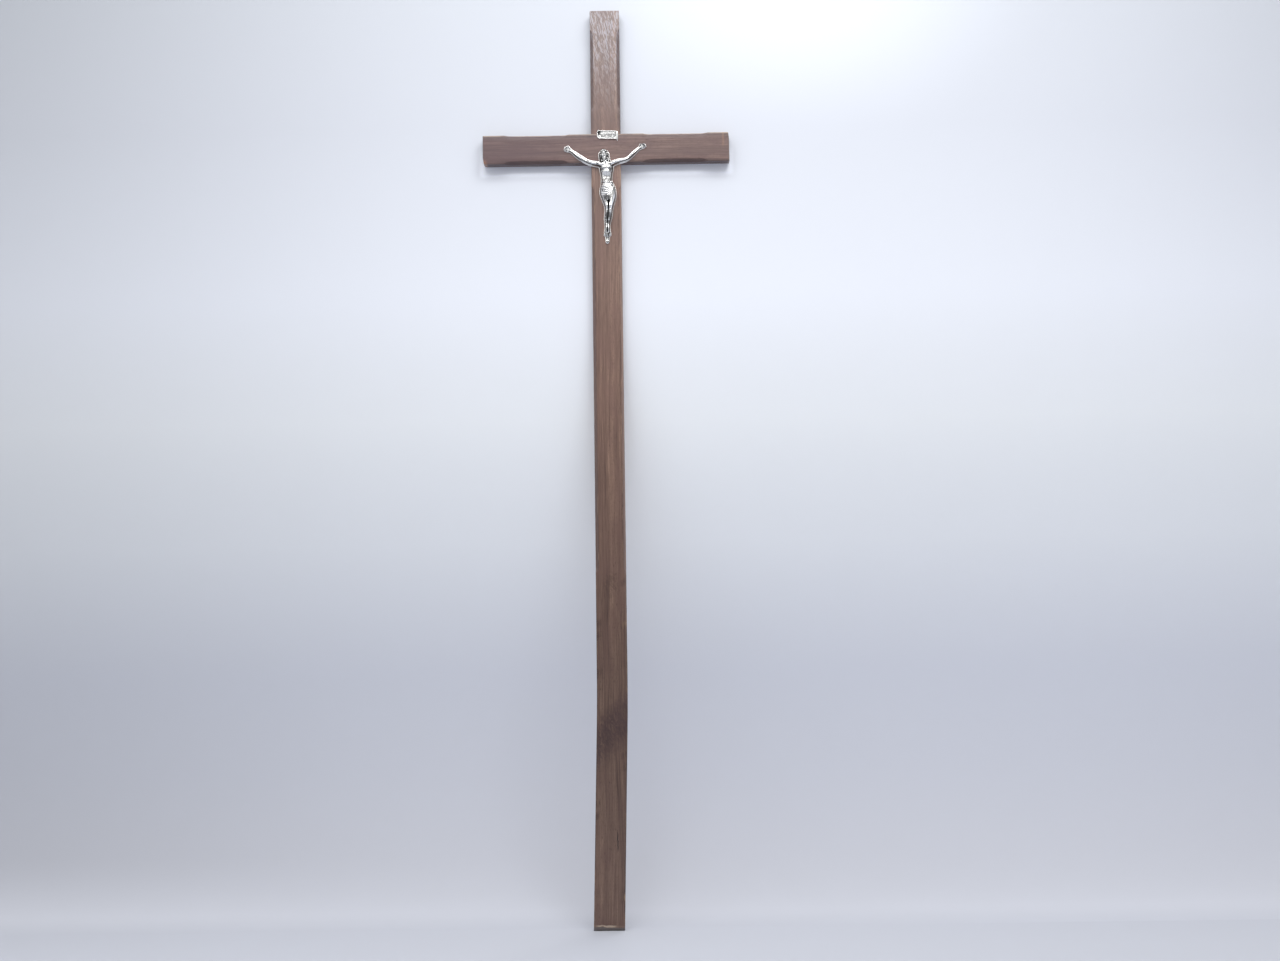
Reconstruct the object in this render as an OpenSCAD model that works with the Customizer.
/* [Boards] */
// Width of both boards
board_w = 60; // [45:1:90]
// Thickness of both boards
board_t = 20; // [16:1:30]
// Length of the upright, foot to top
post_l = 1840; // [1500:10:2200]
// Length of the cross-piece
crossbar_l = 500; // [400:5:700]
// Middle of the cross-piece below the top of the upright
cross_drop = 290; // [200:5:400]
// Play of the half-lap on each side
lap_play = 0.1; // [0:0.05:0.3]

/* [Crook of the upright] */
// Sideways drift of the foot from the line of the straight upper length
foot_drift = 11; // [0:1:20]
// Height of the bend above the foot
bend_z = 440; // [300:10:600]
// Length of board over which it bends
bend_l = 120; // [60:10:200]

/* [Stop chamfers] */
// Width of a chamfer, measured on the front face
chamfer_w = 6; // [2:0.5:8]
// Length of the scooped run-out at each end of a chamfer
runout_l = 18; // [10:1:30]
// Plain length between the top of the upright and its first chamfer
top_plain = 39; // [20:1:60]
// Plain length between the cross-piece and the chamfers of the upright
cross_plain = 48; // [30:1:70]
// Length of the chamfer on the stem below the cross-piece
stem_chamfer_l = 785; // [400:5:900]
// Plain length at each end of the cross-piece
arm_plain = 42; // [20:1:60]
// Plain length between the upright and the chamfers of the cross-piece
inner_plain = 44; // [30:1:60]

/* [Figure] */
// Height of the cast figure, crown to foot tab
figure_h = 200; // [150:5:240]
// Drop of the figure's origin below the middle of the cross-piece
figure_drop = 1.8; // [0:0.1:6]
// Width of the flat rim around the figure
rim_w = 1.1; // [0.6:0.1:2]
// Thickness of that rim
rim_t = 1.6; // [1:0.1:3]
// Depth of the folds in the loincloth
fold_d = 1.2; // [0:0.1:2]
// Depth of the grooves in the hair and beard
strand_d = 0.6; // [0:0.1:1]
// Lean of the head towards its right shoulder, in degrees
head_lean = 8; // [0:1:20]

/* [Scroll] */
// Width of the scroll over its rolled ends
scroll_w = 42; // [30:1:60]
// Height of the scroll's band
scroll_h = 17; // [12:0.5:24]
// Thickness of the scroll's plate
scroll_t = 1.6; // [1:0.1:3]
// Height of the raised border above the plate
border_h = 1; // [0.4:0.1:2]
// Width of the raised border
border_w = 1.4; // [0.8:0.1:2]
// Rise and fall of the band along its length
scroll_wave = 1.6; // [0:0.1:3]
// Middle of the scroll to the right of the upright's line
scroll_x = 3; // [-6:0.5:6]
// Middle of the scroll above the middle of the cross-piece
scroll_up = 28; // [24:1:40]

/* [Nails and screws] */
// Radius of the nails that hold the figure
nail_r = 0.9; // [0.7:0.1:1.5]
// Radius of their domed heads
nail_head_r = 2; // [1.8:0.1:3]
// Depth to which those nails reach into the wood
nail_bite = 11; // [6:1:13]
// Radius of the pins that hold the scroll
pin_r = 0.6; // [0.5:0.1:1]
// Radius of the heads of those pins
pin_head_r = 1.3; // [1.1:0.1:2]
// Depth to which the pins reach into the wood
pin_bite = 7; // [4:1:9]
// Radius of the wood screws of the half-lap
screw_r = 1.75; // [1.5:0.25:2.5]
// Radius of their countersunk heads
screw_head_r = 3.5; // [3:0.25:5]
// Length of those screws
screw_l = 15; // [12:0.5:15]
// Distance of each screw from the middle of the half-lap, along and across
screw_out = 15; // [8:1:20]
// Play around every nail, pin and screw
hole_play = 0.1; // [0.05:0.05:0.2]

/* [Hidden] */

wood_colour = [0.45, 0.35, 0.31];
silver_colour = [0.86, 0.86, 0.85];
steel_colour = [0.55, 0.56, 0.57];

overrun = 1;
cross_z = post_l - cross_drop;
front_y = -board_t / 2;
back_y = board_t / 2;

bend_low = bend_z - bend_l / 2;
bend_high = bend_z + bend_l / 2;
bend_steps = 8;
crook = foot_drift / bend_z;

chamfer_d = chamfer_w / sqrt(2);
scoop_r = (runout_l * runout_l + chamfer_d * chamfer_d) / (2 * chamfer_d);
arm_chamfer_l = (crossbar_l - board_w) / 2 - arm_plain - inner_plain;
top_chamfer_l = cross_drop - board_w / 2 - top_plain - cross_plain;

// Figure: places and sizes as hundredths of its height, measured from its own origin, which lies
// on the post's middle line a little below the middle of the crossing.
// Each row of a body table is [across, up, half width, height off the wood].
hundredth = figure_h / 100;

torso_shares = [
    [-1.0, -12.0, 2.2, 6.2], [-0.8, -14.0, 2.6, 6.1], [0.0, -16.3, 5.5, 5.8],
    [0.4, -18.8, 6.9, 6.3], [0.4, -21.8, 7.0, 6.7], [0.4, -26.2, 6.0, 6.1],
    [0.4, -32.5, 5.3, 5.4], [0.6, -36.0, 5.7, 5.8], [1.0, -40.0, 6.6, 5.5]
];
left_arm_shares = [
    [-5.0, -16.8, 2.6, 6.0], [-8.8, -16.0, 2.6, 5.5], [-12.5, -15.3, 2.4, 4.8],
    [-18.1, -13.7, 2.2, 4.2], [-23.6, -10.7, 2.2, 3.8], [-27.2, -8.2, 2.3, 3.8],
    [-30.5, -5.6, 2.0, 3.3], [-33.8, -2.9, 1.5, 2.6], [-36.3, -1.4, 1.4, 2.2]
];
right_arm_shares = [
    [5.7, -15.9, 2.6, 6.0], [9.3, -14.5, 2.5, 5.5], [12.5, -13.4, 2.3, 4.8],
    [17.0, -12.4, 2.0, 4.2], [21.5, -11.0, 1.7, 3.7], [24.2, -8.9, 1.7, 3.5],
    [27.2, -6.0, 1.7, 3.5], [30.2, -3.2, 1.5, 3.0], [33.0, -0.7, 1.3, 2.4],
    [34.9, 0.5, 1.3, 2.1]
];
rear_leg_shares = [
    [-1.5, -42.0, 4.5, 5.3], [-1.5, -48.0, 4.3, 6.1], [-0.7, -54.0, 3.5, 6.5],
    [0.5, -60.5, 2.5, 6.7], [0.6, -64.0, 2.2, 5.5], [0.3, -68.5, 2.3, 5.0],
    [-0.3, -75.0, 2.0, 3.7], [0.1, -80.0, 1.5, 3.1]
];
front_leg_shares = [
    [4.8, -42.0, 4.3, 5.9], [5.5, -48.0, 4.3, 7.1], [5.2, -54.0, 3.6, 7.8],
    [4.3, -60.5, 2.6, 8.4], [3.8, -64.0, 2.4, 7.2], [3.4, -68.5, 2.4, 6.6],
    [2.3, -75.0, 2.0, 5.1], [1.6, -80.0, 1.4, 4.2]
];
rear_foot_shares = [
    [0.1, -78.5, 1.5, 3.2], [-0.3, -81.5, 1.5, 3.5], [-0.6, -84.5, 1.6, 3.6],
    [-0.7, -86.8, 1.8, 3.1], [-0.7, -88.2, 1.6, 2.2]
];
front_foot_shares = [
    [1.6, -78.5, 1.4, 4.3], [1.7, -81.5, 1.5, 4.7], [1.9, -84.5, 1.6, 4.9],
    [2.1, -86.8, 1.8, 4.2], [2.0, -88.1, 1.6, 2.7]
];
foot_tab_shares = [
    [0.7, -86.0, 2.2, 1.5], [0.7, -91.0, 2.1, 1.5], [0.6, -94.5, 1.8, 1.5],
    [0.6, -96.9, 1.4, 1.5], [0.6, -98.2, 0.7, 1.5]
];
cloth_shares = [
    [0.4, -34.5, 5.3, 5.9], [0.6, -37.0, 6.2, 6.8], [1.0, -40.5, 7.4, 7.4],
    [1.4, -45.0, 8.1, 7.8], [1.9, -49.5, 7.6, 7.9], [2.1, -52.4, 6.9, 7.8]
];
cloth_roll_shares = [
    [-4.7, -34.8, 0.5, 3.5], [-4.0, -35.1, 0.9, 5.7], [-1.9, -36.0, 1.1, 7.3],
    [1.0, -36.7, 1.3, 8.0], [3.7, -36.9, 1.3, 7.6], [5.8, -37.2, 1.2, 6.2]
];
cloth_end_shares = [
    [6.4, -38.0, 1.1, 6.3], [7.6, -41.0, 1.4, 6.3], [8.3, -45.5, 1.4, 5.7],
    [8.1, -50.0, 1.4, 5.1], [7.6, -53.3, 1.1, 4.6]
];
cloth_fall_shares = [
    [1.3, -40.0, 1.8, 8.0], [1.5, -44.0, 2.4, 8.6], [1.7, -49.0, 2.6, 8.6],
    [1.8, -53.0, 2.2, 8.2], [1.8, -55.6, 1.2, 7.4]
];
hair_lock_shares = [
    [1.2, -8.5, 1.0, 4.7], [2.0, -11.0, 1.0, 5.7], [2.8, -13.5, 0.9, 6.4],
    [3.1, -16.0, 0.7, 6.8], [2.8, -18.1, 0.3, 6.8]
];
section_power = 0.9;
// Swellings of the body: [across, up, reach across, reach up, height]
muscle_shares = [
    [-3.2, -20.2, 2.7, 1.9, 1.2], [3.8, -19.9, 2.7, 1.9, 1.2],
    [0.4, -29.8, 2.9, 3.1, -1.3], [0.5, -34.7, 2.3, 1.6, 0.5],
    [-2.8, -25.0, 1.4, 2.6, 0.4], [3.7, -25.0, 1.4, 2.6, 0.4],
    [-7.8, -15.8, 2.2, 1.6, 0.5], [8.2, -14.3, 2.2, 1.6, 0.5],
    [-0.3, -16.1, 0.7, 0.8, -0.7], [0.5, -60.8, 1.5, 1.7, 0.5],
    [4.3, -60.8, 1.5, 1.7, 0.5]
];
// Ribs: [middle, out to each side, first up, pitch, reach across, reach up, height]
rib_count = 4;
rib_shares = [0.4, 4.6, -23.8, 1.4, 1.9, 0.5, 0.3];
hand_shares = [[-38.2, -0.5], [36.7, 1.8]];
hand_turns = [158, 34];
foot_nail_share = [0.6, -94.5];
seat_share = 1.3;
// Hand: palm corners, then each finger's knuckle, bend and tip as [along, across, off the wood]
palm_share = [[-2.8, 0.9], [1.1, 1.7]];
palm_r_share = 1.0;
finger_shares = [[1.3, 1.0], [3.0, 2.2], [3.8, 1.0]];
finger_pitch_share = 1.1;
finger_r_share = 0.55;
finger_arc_share = 0.13;
thumb_shares = [[-1.3, 1.4, 1.2], [0.5, 2.7, 1.6], [1.9, 2.9, 1.5]];
// Toes of both feet in one row: place of the first, step to the next, length and radius
toe_count = 8;
toe_share = [-2.1, -87.0, 1.4];
toe_step_share = [0.8, 0, 0.02];
toe_l_share = 2.2;
toe_r_share = 0.5;
toe_fall_share = 0.4;

// Head: its middle as hundredths of the figure's height, its own sizes as shares of its height
head_middle_share = [-2.0, -7.1];
head_share = 12.3;
skull_shares = [
    [0, -0.50, 0.08, 0.52], [0, -0.46, 0.15, 0.60], [0, -0.38, 0.22, 0.66],
    [0, -0.26, 0.27, 0.70], [0, -0.10, 0.31, 0.72], [0, 0.04, 0.33, 0.72],
    [0, 0.18, 0.33, 0.75], [0, 0.32, 0.29, 0.74], [0, 0.44, 0.19, 0.62],
    [0, 0.49, 0.08, 0.48]
];
hair_shares = [
    [0, 0.54, 0.10, 0.44], [0, 0.49, 0.24, 0.64], [0, 0.39, 0.34, 0.72],
    [0, 0.24, 0.41, 0.64], [0, 0.04, 0.43, 0.54], [0.01, -0.18, 0.42, 0.50],
    [0.03, -0.40, 0.40, 0.48], [0.07, -0.60, 0.36, 0.46], [0.10, -0.74, 0.22, 0.44]
];
beard_shares = [
    [0, -0.20, 0.25, 0.60], [0, -0.32, 0.26, 0.70], [0, -0.42, 0.22, 0.71],
    [0, -0.52, 0.16, 0.68], [0, -0.60, 0.07, 0.60]
];
// Features of the face: [across, up, reach across, reach up, height], a mirrored pair each but
// for those on the middle line
middle_feature_shares = [
    [0, -0.04, 0.045, 0.10, 0.07], [0, -0.12, 0.055, 0.035, 0.06],
    [0, -0.205, 0.12, 0.025, 0.035], [0, -0.25, 0.07, 0.015, -0.02],
    [0, -0.285, 0.06, 0.02, 0.045], [0, -0.42, 0.10, 0.07, 0.03]
];
paired_feature_shares = [
    [0.12, 0.035, 0.06, 0.035, -0.045], [0.12, 0.03, 0.04, 0.018, 0.03],
    [0.11, 0.10, 0.09, 0.025, 0.025], [0.18, -0.08, 0.07, 0.06, 0.02],
    [0.045, -0.135, 0.025, 0.02, 0.02]
];

scroll_steps = 20;
curl_r = scroll_h / 4.5;
curl_eye_r = curl_r / 3;
roll_r = border_w;
scroll_pins = [
    [-scroll_w / 2 + curl_r * 1.6, -scroll_h / 4.5],
    [scroll_w / 2 - curl_r * 1.2, -scroll_h / 2.6]
];

// Across-place of the upright's middle line at height z: straight, a short bend, straight again
function axis_at(z) =
    z >= bend_high ? foot_drift
    : z <= bend_low ? crook * z
    : foot_drift - crook * (bend_high - z) * (bend_high - z) / (2 * bend_l);

// Smooth curve through the rows of a table: t runs from 0 at the first row
function row_at(rows, t) =
    let (
        last = len(rows) - 1,
        i = min(floor(t), last - 1),
        f = t - i,
        p = rows[max(i - 1, 0)],
        q = rows[i],
        r = rows[i + 1],
        s = rows[min(i + 2, last)]
    )
    q + f * ((r - p) / 2 + f * ((2 * p - 5 * q + 4 * r - s) / 2 + f * (3 * q - p - 3 * r + s) / 2));

// Height of a table of swellings at a place: each is a rounded hump or hollow
function swell(rows, x, y) =
    len(rows) == 0 ? 0
    : [for (m = rows) m[4] * exp(-pow((x - m[0]) / m[2], 2) - pow((y - m[1]) / m[3], 2))]
        * [for (m = rows) 1];

// A feature table with its mirror image
function with_mirror(rows) =
    concat(rows, [for (m = rows) [-m[0], m[1], m[2], m[3], m[4]]]);

// Unit vector square to the run of a table at t
function side_at(rows, t) =
    let (
        step = 0.01,
        last = len(rows) - 1,
        d = row_at(rows, min(t + step, last)) - row_at(rows, max(t - step, 0)),
        l = norm([d[0], d[1]])
    )
    [-d[1] / l, d[0] / l];

// One relief section, from the wood on one side over the top to the wood on the other, with the
// rim as its two feet; ripples of the given count and depth run along the body
function section(row, side, spans, swellings, ripples, ripple_d, rim, rim_top) =
    let (
        middle = [row[0], row[1]],
        dome = row[3] - rim_top,
        edge = side * (row[2] + rim),
        arch = [
            for (i = [0:spans])
                let (
                    a = 180 * i / spans,
                    place = middle + side * row[2] * cos(a),
                    rise = dome + swell(swellings, place.x, place.y) + ripple_d * cos(ripples * 2 * a)
                )
                concat(place, rim_top + max(rise, 0) * pow(sin(a), section_power))
        ]
    )
    rim == 0 ? arch
    : concat(
        [concat(middle + edge, 0), concat(middle + edge, rim_top)],
        arch,
        [concat(middle - edge, rim_top), concat(middle - edge, 0)]
    );

// Closed solid through a list of rings with equal counts of points
module skin(rings) {
    n = len(rings[0]);
    last = len(rings) - 1;
    points = [for (ring = rings) each ring];
    walls = [
        for (j = [0:last - 1], i = [0:n - 1])
            let (k = (i + 1) % n)
            each [
                [j * n + i, (j + 1) * n + k, j * n + k],
                [j * n + i, (j + 1) * n + i, (j + 1) * n + k]
            ]
    ];
    start = [[for (i = [0:n - 1]) i]];
    end = [[for (i = [n - 1:-1:0]) last * n + i]];
    polyhedron(points = points, faces = concat(walls, start, end), convexity = 6);
}

// Relief body drawn from a table of shares: steps rings between two rows, unit is one share
module relief(
    rows, unit, steps, spans,
    swellings = [], ripples = 0, ripple_d = 0, rim = rim_w, rim_top = rim_t
) {
    count = (len(rows) - 1) * steps;
    humps = len(swellings) == 0 ? [] : swellings * unit;
    rings = [
        for (j = [0:count])
            let (t = j / steps)
            section(
                row_at(rows, t) * unit, side_at(rows, t), spans, humps,
                ripples, ripple_d, rim, rim_top
            )
    ];
    skin(rings);
}

// Raises its children from the drawing plane onto the front of the crossing
module on_front() {
    translate([foot_drift, front_y, cross_z]) rotate([90, 0, 0]) children();
}

// The same, from the figure's own origin
module at_figure() {
    on_front() translate([0, -figure_drop, 0]) children();
}

// Cutter of one stop chamfer: it runs along X from zero, and the board's edge lies on the X axis
// with the board below it and behind it, towards -Y and -Z
module stop_chamfer(length) {
    depth = chamfer_d + overrun;
    rotate([45, 0, 0]) translate([0, -chamfer_d, 0]) linear_extrude(2 * chamfer_w, center = true) {
        translate([runout_l, 0]) square([length - 2 * runout_l, depth]);
        for (end = [0, 1]) translate([end * length, 0]) mirror([end, 0])
            intersection() {
                translate([runout_l, scoop_r]) circle(scoop_r, $fn = 180);
                translate([-overrun, 0]) square([runout_l + overrun, depth]);
            }
    }
}

// Chamfers on the front edges of the upright: one pair above the cross-piece, one pair below
module post_chamfers() {
    stem_high = cross_z - board_w / 2 - cross_plain;
    for (hand = [0, 1])
        translate([foot_drift, 0, 0]) mirror([hand, 0, 0])
            for (run = [[post_l - top_plain, top_chamfer_l], [stem_high, stem_chamfer_l]])
                translate([board_w / 2, front_y, run[0]]) rotate([0, 90, 0]) rotate([90, 0, 0])
                    stop_chamfer(run[1]);
}

// Chamfers on the front edges of the cross-piece, two on each arm
module crossbar_chamfers() {
    for (hand = [0, 1], side = [0, 1])
        translate([foot_drift, front_y, cross_z]) mirror([hand, 0, 0]) mirror([0, 0, side])
            translate([board_w / 2 + inner_plain, 0, board_w / 2]) rotate([90, 0, 0])
                stop_chamfer(arm_chamfer_l);
}

// Shaft and seat of every fastener that enters the wood from the front
module front_holes() {
    at_figure() for (place = concat(hand_shares, [foot_nail_share]))
        nail_hole(place * hundredth, nail_r, nail_bite);
    on_front() for (place = scroll_pins)
        nail_hole([scroll_x, scroll_up] + place, pin_r, pin_bite);
}

module nail_hole(place, r, bite) {
    deep = bite + hole_play;
    translate([place.x, place.y, -deep]) cylinder(h = deep + overrun, r = r + hole_play, $fn = 32);
}

// Places of the two lap screws, on a diagonal of the joint
module at_lap_screws() {
    for (s = [-1, 1]) translate([foot_drift + s * screw_out, back_y, cross_z + s * screw_out])
        rotate([90, 0, 0]) children();
}

module lap_screw_holes() {
    head_h = screw_head_r - screw_r;
    at_lap_screws() {
        translate([0, 0, -overrun])
            cylinder(h = screw_l + hole_play + overrun, r = screw_r + hole_play, $fn = 32);
        translate([0, 0, -overrun]) cylinder(h = overrun, r = screw_head_r + hole_play, $fn = 32);
        cylinder(h = head_h, r1 = screw_head_r + hole_play, r2 = screw_r + hole_play, $fn = 32);
    }
}

module post() {
    high = [for (k = [0:bend_steps]) bend_low + (bend_high - bend_low) * k / bend_steps];
    levels = concat([0], high, [post_l]);
    last = len(levels) - 1;
    right = [for (z = levels) [axis_at(z) + board_w / 2, z]];
    left = [for (k = [last:-1:0]) [axis_at(levels[k]) - board_w / 2, levels[k]]];
    notch = board_w + 2 * lap_play;
    color(wood_colour) difference() {
        translate([0, back_y, 0]) rotate([90, 0, 0])
            linear_extrude(board_t) polygon(concat(right, left));
        translate([foot_drift - board_w, front_y - overrun, cross_z - notch / 2])
            cube([2 * board_w, board_t / 2 + overrun, notch]);
        post_chamfers();
        front_holes();
        lap_screw_holes();
    }
}

module crossbar() {
    notch = board_w + 2 * lap_play;
    color(wood_colour) difference() {
        translate([foot_drift - crossbar_l / 2, front_y, cross_z - board_w / 2])
            cube([crossbar_l, board_t, board_w]);
        translate([foot_drift - notch / 2, 0, cross_z - board_w])
            cube([notch, board_t / 2 + overrun, 2 * board_w]);
        crossbar_chamfers();
        front_holes();
        lap_screw_holes();
    }
}

// Two rounded knobs and the stretch between them
module link(from, to, r_from, r_to) {
    hull() {
        translate(from) sphere(r_from, $fn = 8);
        translate(to) sphere(r_to, $fn = 8);
    }
}

// Half-closed hand around the nail at its origin; fingers run along +X, the thumb lies to one side
module hand(thumb) {
    u = hundredth;
    r = finger_r_share * u;
    hull() for (corner = palm_share, s = [-1, 1])
        translate([corner[0], s * corner[1], palm_r_share / 2] * u) sphere(palm_r_share * u, $fn = 10);
    hull() for (corner = palm_share, s = [-1, 1])
        translate([corner[0], s * corner[1], 0] * u)
            cylinder(h = rim_t, r = palm_r_share * u + rim_w, $fn = 14);
    for (k = [-1.5:1:1.5]) {
        joints = [
            for (p = finger_shares)
                [p[0] - finger_arc_share * k * k, k * finger_pitch_share, p[1]] * u
        ];
        link(joints[0], joints[1], r * 1.1, r);
        link(joints[1], joints[2], r, r * 0.85);
    }
    tips = [for (p = thumb_shares) [p[0], thumb * p[1], p[2]] * u];
    link(tips[0], tips[1], r * 1.4, r * 1.15);
    link(tips[1], tips[2], r * 1.15, r * 0.95);
}

module toes() {
    r = toe_r_share * hundredth;
    for (k = [0:toe_count - 1]) {
        root = (toe_share + k * toe_step_share) * hundredth;
        link(root, root + [0, -toe_l_share, -toe_fall_share] * hundredth, r, r);
    }
}

module head() {
    head_h = head_share * hundredth;
    features = concat(middle_feature_shares, with_mirror(paired_feature_shares));
    translate(head_middle_share * hundredth) rotate(head_lean) {
        relief(skull_shares, head_h, 3, 26, features, rim = 0, rim_top = 0);
        relief(hair_shares, head_h, 2, 30, ripples = 6, ripple_d = strand_d);
        relief(
            beard_shares, head_h, 2, 16,
            ripples = 5, ripple_d = strand_d / 2, rim = 0, rim_top = 0
        );
    }
    relief(
        hair_lock_shares, hundredth, 3, 12,
        ripples = 2, ripple_d = strand_d / 2, rim = 0, rim_top = 0
    );
}

module loincloth() {
    relief(cloth_shares, hundredth, 2, 30, ripples = 5, ripple_d = fold_d / 2);
    relief(
        cloth_roll_shares, hundredth, 3, 10,
        ripples = 2, ripple_d = fold_d / 3, rim = 0, rim_top = 0
    );
    relief(
        cloth_fall_shares, hundredth, 2, 14,
        ripples = 3, ripple_d = fold_d / 2, rim = 0, rim_top = 0
    );
    relief(cloth_end_shares, hundredth, 2, 10, ripples = 2, ripple_d = fold_d / 2);
}

module body() {
    ribs = [
        for (k = [0:rib_count - 1], s = [-1, 1]) [
            rib_shares[0] + s * rib_shares[1], rib_shares[2] - k * rib_shares[3],
            rib_shares[4], rib_shares[5], rib_shares[6]
        ]
    ];
    muscles = concat(muscle_shares, ribs);
    relief(torso_shares, hundredth, 4, 22, muscles);
    relief(left_arm_shares, hundredth, 2, 10, muscle_shares);
    relief(right_arm_shares, hundredth, 2, 10, muscle_shares);
    relief(rear_leg_shares, hundredth, 2, 12, muscle_shares);
    relief(front_leg_shares, hundredth, 2, 12, muscle_shares);
    relief(rear_foot_shares, hundredth, 2, 10);
    relief(front_foot_shares, hundredth, 2, 10);
    relief(foot_tab_shares, hundredth, 2, 12, rim = rim_w / 2);
}

// Cast figure, flat behind: drawn as relief over the plane of the wood
module corpus() {
    seat_h = seat_share * hundredth;
    color(silver_colour) at_figure() difference() {
        intersection() {
            union() {
                body();
                loincloth();
                head();
                toes();
                for (k = [0, 1])
                    translate(hand_shares[k] * hundredth) rotate(hand_turns[k]) hand(2 * k - 1);
            }
            translate([-figure_h, -figure_h * 1.5, 0]) cube([2 * figure_h, 2 * figure_h, figure_h]);
        }
        for (place = concat(hand_shares, [foot_nail_share])) translate(place * hundredth) {
            translate([0, 0, -overrun])
                cylinder(h = seat_h + 2 * overrun, r = nail_r + hole_play, $fn = 24);
            translate([0, 0, seat_h])
                cylinder(h = figure_h / 10, r = nail_head_r + hole_play, $fn = 24);
        }
    }
}

// Outline of the scroll's band, drawn in from its edge by inset
module band(inset) {
    half = scroll_w / 2 - inset;
    places = [for (k = [0:scroll_steps]) -half + 2 * half * k / scroll_steps];
    function mid(x) = -scroll_wave * pow(x / half, 3);
    lower = [for (x = places) [x, mid(x) - scroll_h / 2 + inset]];
    upper = [for (k = [scroll_steps:-1:0]) [places[k], mid(places[k]) + scroll_h / 2 - inset]];
    polygon(concat(lower, upper));
}

// Upright roll of the scroll's end, flat behind, with bevelled ends
module roll(r, length) {
    bevel = r / 3;
    intersection() {
        rotate([-90, 0, 0]) translate([0, 0, -length / 2]) rotate_extrude($fn = 48)
            polygon([
                [0, 0], [r - bevel, 0], [r, bevel], [r, length - bevel], [r - bevel, length], [0, length]
            ]);
        translate([-r, -length, 0]) cube([2 * r, 2 * length, r]);
    }
}

module titulus() {
    color(silver_colour) on_front() translate([scroll_x, scroll_up, 0]) difference() {
        union() {
            difference() {
                linear_extrude(scroll_t + border_h) band(0);
                translate([0, 0, scroll_t]) linear_extrude(border_h + overrun) band(border_w);
            }
            translate([-scroll_w / 2 + curl_r / 2, scroll_wave, 0]) roll(curl_r, scroll_h * 0.9);
            translate([scroll_w / 2, -scroll_wave * 2, 0]) roll(roll_r, scroll_h * 1.2);
        }
        for (place = scroll_pins) translate([place.x, place.y, -overrun])
            cylinder(h = scroll_t + border_h + 2 * overrun, r = pin_r + hole_play, $fn = 24);
    }
}

// Nail or pin with a low domed head whose flat underside is at the origin
module nail(r, head_r, length) {
    dome_h = head_r / 2;
    dome_r = (head_r * head_r + dome_h * dome_h) / (2 * dome_h);
    translate([0, 0, -length]) cylinder(h = length, r = r, $fn = 32);
    rotate_extrude($fn = 48) intersection() {
        translate([0, dome_h - dome_r]) circle(dome_r, $fn = 96);
        square([head_r, dome_h]);
    }
}

module hand_nails() {
    seat_h = seat_share * hundredth;
    color(steel_colour) at_figure() for (place = hand_shares)
        translate([place.x * hundredth, place.y * hundredth, seat_h])
            nail(nail_r, nail_head_r, seat_h + nail_bite);
}

module foot_nail() {
    seat_h = seat_share * hundredth;
    color(steel_colour) at_figure()
        translate([foot_nail_share.x * hundredth, foot_nail_share.y * hundredth, seat_h])
            nail(nail_r, nail_head_r, seat_h + nail_bite);
}

module titulus_nails() {
    color(steel_colour) on_front() for (place = scroll_pins)
        translate([scroll_x + place.x, scroll_up + place.y, scroll_t])
            nail(pin_r, pin_head_r, scroll_t + pin_bite);
}

module lap_screws() {
    color(steel_colour) at_lap_screws() {
        cylinder(h = screw_head_r - screw_r, r1 = screw_head_r, r2 = screw_r, $fn = 32);
        cylinder(h = screw_l, r = screw_r, $fn = 32);
    }
}

post();
crossbar();
corpus();
titulus();
lap_screws();
hand_nails();
foot_nail();
titulus_nails();
